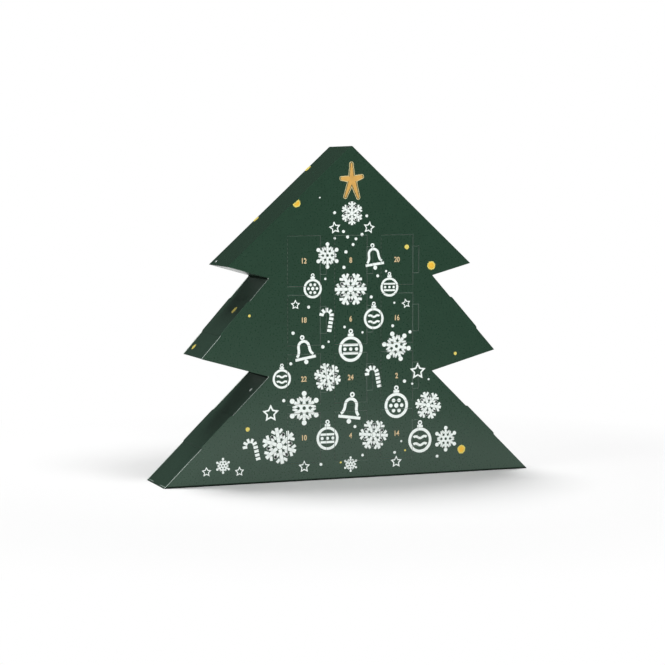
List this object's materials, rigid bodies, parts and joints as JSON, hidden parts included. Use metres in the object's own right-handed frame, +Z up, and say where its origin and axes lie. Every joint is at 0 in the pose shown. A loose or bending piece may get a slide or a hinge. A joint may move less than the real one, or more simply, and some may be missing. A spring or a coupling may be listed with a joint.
{
  "type": "chocolate advent calendar",
  "caption": "Free-standing fir-tree-shaped advent calendar box of printed board, with numbered swinging doors on both faces and a wrapped chocolate behind each.",
  "frame": {"origin": "middle of the foot, on the surface that the calendar stands on", "axes": "+X across the tree to the right as seen from the front, +Y from the front to the back, +Z up"},
  "size_m": [0.3, 0.0486, 0.2555],
  "materials": {
    "printed_board": "satin",
    "plain_board": "matte",
    "insert_card": "matte",
    "wrapped_chocolate": "satin"
  },
  "bodies": {
    "box": {"front_panel": "printed_board", "back_panel": "printed_board", "left_wall_strip": "printed_board", "right_wall_strip": "printed_board", "base_panel": "plain_board", "centre_board": "insert_card", "front_uprights": "insert_card", "back_uprights": "insert_card", "front_shelves": "insert_card", "back_shelves": "insert_card", "chocolate_01": "wrapped_chocolate", "chocolate_02": "wrapped_chocolate", "chocolate_03": "wrapped_chocolate", "chocolate_04": "wrapped_chocolate", "chocolate_05": "wrapped_chocolate", "chocolate_06": "wrapped_chocolate", "chocolate_07": "wrapped_chocolate", "chocolate_08": "wrapped_chocolate", "chocolate_09": "wrapped_chocolate", "chocolate_10": "wrapped_chocolate", "chocolate_11": "wrapped_chocolate", "chocolate_12": "wrapped_chocolate", "chocolate_13": "wrapped_chocolate", "chocolate_14": "wrapped_chocolate", "chocolate_15": "wrapped_chocolate", "chocolate_16": "wrapped_chocolate", "chocolate_17": "wrapped_chocolate", "chocolate_18": "wrapped_chocolate", "chocolate_19": "wrapped_chocolate", "chocolate_20": "wrapped_chocolate", "chocolate_21": "wrapped_chocolate", "chocolate_22": "wrapped_chocolate", "chocolate_23": "wrapped_chocolate", "chocolate_24": "wrapped_chocolate"},
    "door_01": {"door_01": "printed_board"},
    "door_02": {"door_02": "printed_board"},
    "door_03": {"door_03": "printed_board"},
    "door_04": {"door_04": "printed_board"},
    "door_05": {"door_05": "printed_board"},
    "door_06": {"door_06": "printed_board"},
    "door_07": {"door_07": "printed_board"},
    "door_08": {"door_08": "printed_board"},
    "door_09": {"door_09": "printed_board"},
    "door_10": {"door_10": "printed_board"},
    "door_11": {"door_11": "printed_board"},
    "door_12": {"door_12": "printed_board"},
    "door_13": {"door_13": "printed_board"},
    "door_14": {"door_14": "printed_board"},
    "door_15": {"door_15": "printed_board"},
    "door_16": {"door_16": "printed_board"},
    "door_17": {"door_17": "printed_board"},
    "door_18": {"door_18": "printed_board"},
    "door_19": {"door_19": "printed_board"},
    "door_20": {"door_20": "printed_board"},
    "door_21": {"door_21": "printed_board"},
    "door_22": {"door_22": "printed_board"},
    "door_23": {"door_23": "printed_board"},
    "door_24": {"door_24": "printed_board"}
  },
  "joints": [
    {"name": "door_01_hinge", "type": "hinge", "parent": "box", "child": "door_01", "pos_m": [0.0143, 0.0243, 0.123], "axis": [0, 0, -1], "range_deg": [0, 165]},
    {"name": "door_02_hinge", "type": "hinge", "parent": "box", "child": "door_02", "pos_m": [0.0239, -0.0243, 0.078], "axis": [0, 0, -1], "range_deg": [0, 165]},
    {"name": "door_03_hinge", "type": "hinge", "parent": "box", "child": "door_03", "pos_m": [-0.0239, 0.0243, 0.078], "axis": [0, 0, -1], "range_deg": [0, 165]},
    {"name": "door_04_hinge", "type": "hinge", "parent": "box", "child": "door_04", "pos_m": [-0.0143, -0.0243, 0.033], "axis": [0, 0, -1], "range_deg": [0, 165]},
    {"name": "door_05_hinge", "type": "hinge", "parent": "box", "child": "door_05", "pos_m": [0.0525, 0.0243, 0.168], "axis": [0, 0, -1], "range_deg": [0, 165]},
    {"name": "door_06_hinge", "type": "hinge", "parent": "box", "child": "door_06", "pos_m": [-0.0143, -0.0243, 0.123], "axis": [0, 0, -1], "range_deg": [0, 165]},
    {"name": "door_07_hinge", "type": "hinge", "parent": "box", "child": "door_07", "pos_m": [0.0143, 0.0243, 0.033], "axis": [0, 0, -1], "range_deg": [0, 165]},
    {"name": "door_08_hinge", "type": "hinge", "parent": "box", "child": "door_08", "pos_m": [-0.0143, -0.0243, 0.168], "axis": [0, 0, -1], "range_deg": [0, 165]},
    {"name": "door_09_hinge", "type": "hinge", "parent": "box", "child": "door_09", "pos_m": [0.0525, 0.0243, 0.078], "axis": [0, 0, -1], "range_deg": [0, 165]},
    {"name": "door_10_hinge", "type": "hinge", "parent": "box", "child": "door_10", "pos_m": [-0.0525, -0.0243, 0.033], "axis": [0, 0, -1], "range_deg": [0, 165]},
    {"name": "door_11_hinge", "type": "hinge", "parent": "box", "child": "door_11", "pos_m": [-0.0239, 0.0243, 0.168], "axis": [0, 0, -1], "range_deg": [0, 165]},
    {"name": "door_12_hinge", "type": "hinge", "parent": "box", "child": "door_12", "pos_m": [-0.0525, -0.0243, 0.168], "axis": [0, 0, -1], "range_deg": [0, 165]},
    {"name": "door_13_hinge", "type": "hinge", "parent": "box", "child": "door_13", "pos_m": [-0.0239, 0.0243, 0.123], "axis": [0, 0, -1], "range_deg": [0, 165]},
    {"name": "door_14_hinge", "type": "hinge", "parent": "box", "child": "door_14", "pos_m": [0.0239, -0.0243, 0.033], "axis": [0, 0, -1], "range_deg": [0, 165]},
    {"name": "door_15_hinge", "type": "hinge", "parent": "box", "child": "door_15", "pos_m": [-0.0239, 0.0243, 0.033], "axis": [0, 0, -1], "range_deg": [0, 165]},
    {"name": "door_16_hinge", "type": "hinge", "parent": "box", "child": "door_16", "pos_m": [0.0239, -0.0243, 0.123], "axis": [0, 0, -1], "range_deg": [0, 165]},
    {"name": "door_17_hinge", "type": "hinge", "parent": "box", "child": "door_17", "pos_m": [0.0143, 0.0243, 0.078], "axis": [0, 0, -1], "range_deg": [0, 165]},
    {"name": "door_18_hinge", "type": "hinge", "parent": "box", "child": "door_18", "pos_m": [-0.0525, -0.0243, 0.123], "axis": [0, 0, -1], "range_deg": [0, 165]},
    {"name": "door_19_hinge", "type": "hinge", "parent": "box", "child": "door_19", "pos_m": [0.0143, 0.0243, 0.168], "axis": [0, 0, -1], "range_deg": [0, 165]},
    {"name": "door_20_hinge", "type": "hinge", "parent": "box", "child": "door_20", "pos_m": [0.0239, -0.0243, 0.168], "axis": [0, 0, -1], "range_deg": [0, 165]},
    {"name": "door_21_hinge", "type": "hinge", "parent": "box", "child": "door_21", "pos_m": [0.0525, 0.0243, 0.033], "axis": [0, 0, -1], "range_deg": [0, 165]},
    {"name": "door_22_hinge", "type": "hinge", "parent": "box", "child": "door_22", "pos_m": [-0.0525, -0.0243, 0.078], "axis": [0, 0, -1], "range_deg": [0, 165]},
    {"name": "door_23_hinge", "type": "hinge", "parent": "box", "child": "door_23", "pos_m": [0.0525, 0.0243, 0.123], "axis": [0, 0, -1], "range_deg": [0, 165]},
    {"name": "door_24_hinge", "type": "hinge", "parent": "box", "child": "door_24", "pos_m": [-0.0143, -0.0243, 0.078], "axis": [0, 0, -1], "range_deg": [0, 165]}
  ]
}
